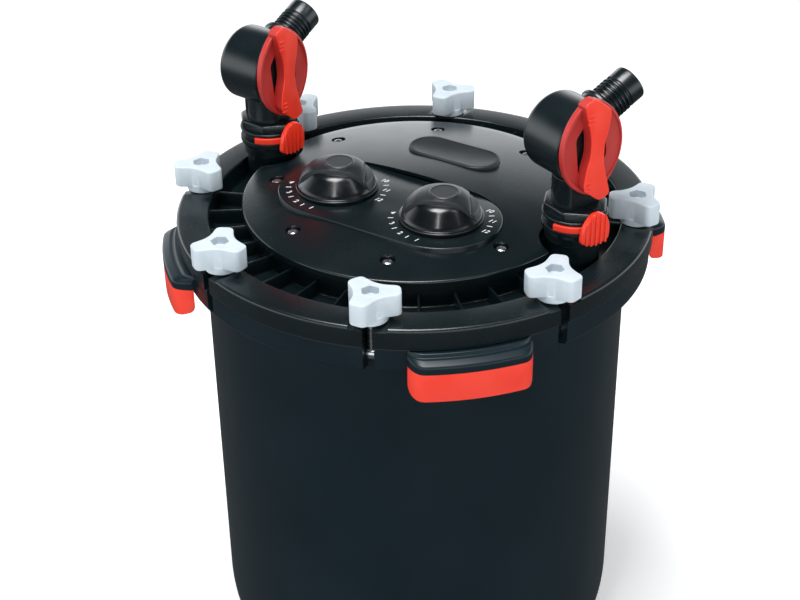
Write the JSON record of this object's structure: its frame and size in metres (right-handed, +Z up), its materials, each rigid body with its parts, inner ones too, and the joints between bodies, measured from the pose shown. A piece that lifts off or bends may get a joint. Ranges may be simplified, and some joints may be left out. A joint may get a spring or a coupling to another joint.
{
  "type": "canister filter",
  "caption": "Upright round canister filter with a bolted ribbed lid, two quick-release hose valves with turn levers, two month dials, lifting handles and a base pump.",
  "frame": {"origin": "centre of the base, on the floor, on the vessel's axis", "axes": "+Z up along the vessel's axis, +X from the left hose valve to the right one, -Y towards the dials, the front"},
  "size_m": [0.392, 0.392, 0.5685],
  "materials": {
    "vessel_plastic": "satin moulded",
    "dial_plastic": "polished",
    "badge_plastic": "satin",
    "red_plastic": "satin moulded",
    "knob_plastic": "satin moulded",
    "steel": "turned",
    "rubber": "matte",
    "grey_plastic": "moulded",
    "foam": "open foam"
  },
  "bodies": {
    "vessel_assembly": {"canister": "vessel_plastic", "base_ring": "vessel_plastic", "foot_1": "rubber", "foot_2": "rubber", "foot_3": "rubber", "foot_4": "rubber", "lid": "vessel_plastic", "lid_gasket": "rubber", "cover_plate": "vessel_plastic", "dial_panel": "vessel_plastic", "badge_pad": "badge_plastic", "cover_screw_1": "steel", "cover_screw_2": "steel", "cover_screw_3": "steel", "cover_screw_4": "steel", "cover_screw_5": "steel", "cover_screw_6": "steel", "cover_screw_7": "steel", "cover_screw_8": "steel", "handle_grip_1": "red_plastic", "handle_grip_2": "red_plastic", "handle_grip_3": "red_plastic", "handle_grip_4": "red_plastic", "valve_body_right": "vessel_plastic", "valve_body_left": "vessel_plastic", "hose_nozzle_right": "vessel_plastic", "hose_nozzle_left": "vessel_plastic", "motor_housing": "vessel_plastic", "volute_cover": "grey_plastic", "outlet_riser": "grey_plastic", "media_basket_1": "grey_plastic", "media_basket_2": "grey_plastic", "media_basket_3": "grey_plastic", "filter_foam": "foam", "basket_lid": "grey_plastic", "drain_valve": "vessel_plastic"},
    "swing_bolt_1": {"swing_bolt_1": "steel"},
    "knob_1": {"knob_1": "knob_plastic"},
    "swing_bolt_2": {"swing_bolt_2": "steel"},
    "knob_2": {"knob_2": "knob_plastic"},
    "swing_bolt_3": {"swing_bolt_3": "steel"},
    "knob_3": {"knob_3": "knob_plastic"},
    "swing_bolt_4": {"swing_bolt_4": "steel"},
    "knob_4": {"knob_4": "knob_plastic"},
    "swing_bolt_5": {"swing_bolt_5": "steel"},
    "knob_5": {"knob_5": "knob_plastic"},
    "swing_bolt_6": {"swing_bolt_6": "steel"},
    "knob_6": {"knob_6": "knob_plastic"},
    "swing_bolt_7": {"swing_bolt_7": "steel"},
    "knob_7": {"knob_7": "knob_plastic"},
    "swing_bolt_8": {"swing_bolt_8": "steel"},
    "knob_8": {"knob_8": "knob_plastic"},
    "valve_lever_right": {"valve_lever_right": "red_plastic"},
    "release_ring_right": {"release_ring_right": "red_plastic"},
    "valve_lever_left": {"valve_lever_left": "red_plastic"},
    "release_ring_left": {"release_ring_left": "red_plastic"},
    "dial_right": {"dial_right": "dial_plastic"},
    "dial_left": {"dial_left": "dial_plastic"},
    "impeller": {"impeller": "grey_plastic"},
    "drain_handle": {"drain_handle": "red_plastic"}
  },
  "joints": [
    {"name": "bolt_swing_1", "type": "hinge", "parent": "vessel_assembly", "child": "swing_bolt_1", "pos_m": [0.16768, 0.06946, 0.402], "axis": [-0.3827, 0.9239, 0], "range_deg": [0, 95]},
    {"name": "knob_turn_1", "type": "hinge", "parent": "swing_bolt_1", "child": "knob_1", "pos_m": [0.16768, 0.06946, 0.444], "axis": [0, 0, 1], "range_deg": [0, 540]},
    {"name": "bolt_swing_2", "type": "hinge", "parent": "vessel_assembly", "child": "swing_bolt_2", "pos_m": [0.06946, 0.16768, 0.402], "axis": [-0.9239, 0.3827, 0], "range_deg": [0, 95]},
    {"name": "knob_turn_2", "type": "hinge", "parent": "swing_bolt_2", "child": "knob_2", "pos_m": [0.06946, 0.16768, 0.444], "axis": [0, 0, 1], "range_deg": [0, 540]},
    {"name": "bolt_swing_3", "type": "hinge", "parent": "vessel_assembly", "child": "swing_bolt_3", "pos_m": [-0.06946, 0.16768, 0.402], "axis": [-0.9239, -0.3827, 0], "range_deg": [0, 95]},
    {"name": "knob_turn_3", "type": "hinge", "parent": "swing_bolt_3", "child": "knob_3", "pos_m": [-0.06946, 0.16768, 0.444], "axis": [0, 0, 1], "range_deg": [0, 540]},
    {"name": "bolt_swing_4", "type": "hinge", "parent": "vessel_assembly", "child": "swing_bolt_4", "pos_m": [-0.16768, 0.06946, 0.402], "axis": [-0.3827, -0.9239, 0], "range_deg": [0, 95]},
    {"name": "knob_turn_4", "type": "hinge", "parent": "swing_bolt_4", "child": "knob_4", "pos_m": [-0.16768, 0.06946, 0.444], "axis": [0, 0, 1], "range_deg": [0, 540]},
    {"name": "bolt_swing_5", "type": "hinge", "parent": "vessel_assembly", "child": "swing_bolt_5", "pos_m": [-0.16768, -0.06946, 0.402], "axis": [0.3827, -0.9239, 0], "range_deg": [0, 95]},
    {"name": "knob_turn_5", "type": "hinge", "parent": "swing_bolt_5", "child": "knob_5", "pos_m": [-0.16768, -0.06946, 0.444], "axis": [0, 0, 1], "range_deg": [0, 540]},
    {"name": "bolt_swing_6", "type": "hinge", "parent": "vessel_assembly", "child": "swing_bolt_6", "pos_m": [-0.06946, -0.16768, 0.402], "axis": [0.9239, -0.3827, 0], "range_deg": [0, 95]},
    {"name": "knob_turn_6", "type": "hinge", "parent": "swing_bolt_6", "child": "knob_6", "pos_m": [-0.06946, -0.16768, 0.444], "axis": [0, 0, 1], "range_deg": [0, 540]},
    {"name": "bolt_swing_7", "type": "hinge", "parent": "vessel_assembly", "child": "swing_bolt_7", "pos_m": [0.06946, -0.16768, 0.402], "axis": [0.9239, 0.3827, 0], "range_deg": [0, 95]},
    {"name": "knob_turn_7", "type": "hinge", "parent": "swing_bolt_7", "child": "knob_7", "pos_m": [0.06946, -0.16768, 0.444], "axis": [0, 0, 1], "range_deg": [0, 540]},
    {"name": "bolt_swing_8", "type": "hinge", "parent": "vessel_assembly", "child": "swing_bolt_8", "pos_m": [0.16768, -0.06946, 0.402], "axis": [0.3827, 0.9239, 0], "range_deg": [0, 95]},
    {"name": "knob_turn_8", "type": "hinge", "parent": "swing_bolt_8", "child": "knob_8", "pos_m": [0.16768, -0.06946, 0.444], "axis": [0, 0, 1], "range_deg": [0, 540]},
    {"name": "lever_turn_right", "type": "hinge", "parent": "vessel_assembly", "child": "valve_lever_right", "pos_m": [0.16044, -0.00543, 0.5265], "axis": [0.9272, -0.3746, 0], "range_deg": [0, 90]},
    {"name": "release_turn_right", "type": "hinge", "parent": "vessel_assembly", "child": "release_ring_right", "pos_m": [0.147, 0, 0.463], "axis": [0, 0, 1], "range_deg": [-25, 0]},
    {"name": "lever_turn_left", "type": "hinge", "parent": "vessel_assembly", "child": "valve_lever_left", "pos_m": [-0.12907, -0.00157, 0.5205], "axis": [0.9962, -0.0872, 0], "range_deg": [0, 90]},
    {"name": "release_turn_left", "type": "hinge", "parent": "vessel_assembly", "child": "release_ring_left", "pos_m": [-0.147, 0, 0.463], "axis": [0, 0, 1], "range_deg": [-25, 0]},
    {"name": "dial_turn_right", "type": "hinge", "parent": "vessel_assembly", "child": "dial_right", "pos_m": [0.05, -0.039, 0.452], "axis": [0, 0, 1], "continuous": true},
    {"name": "dial_turn_left", "type": "hinge", "parent": "vessel_assembly", "child": "dial_left", "pos_m": [-0.05, -0.039, 0.452], "axis": [0, 0, 1], "continuous": true},
    {"name": "impeller_spin", "type": "hinge", "parent": "vessel_assembly", "child": "impeller", "pos_m": [0, 0, 0.078], "axis": [0, 0, 1], "continuous": true},
    {"name": "drain_turn", "type": "hinge", "parent": "vessel_assembly", "child": "drain_handle", "pos_m": [0, 0.183, 0.104], "axis": [0, 0, 1], "range_deg": [0, 90]}
  ]
}
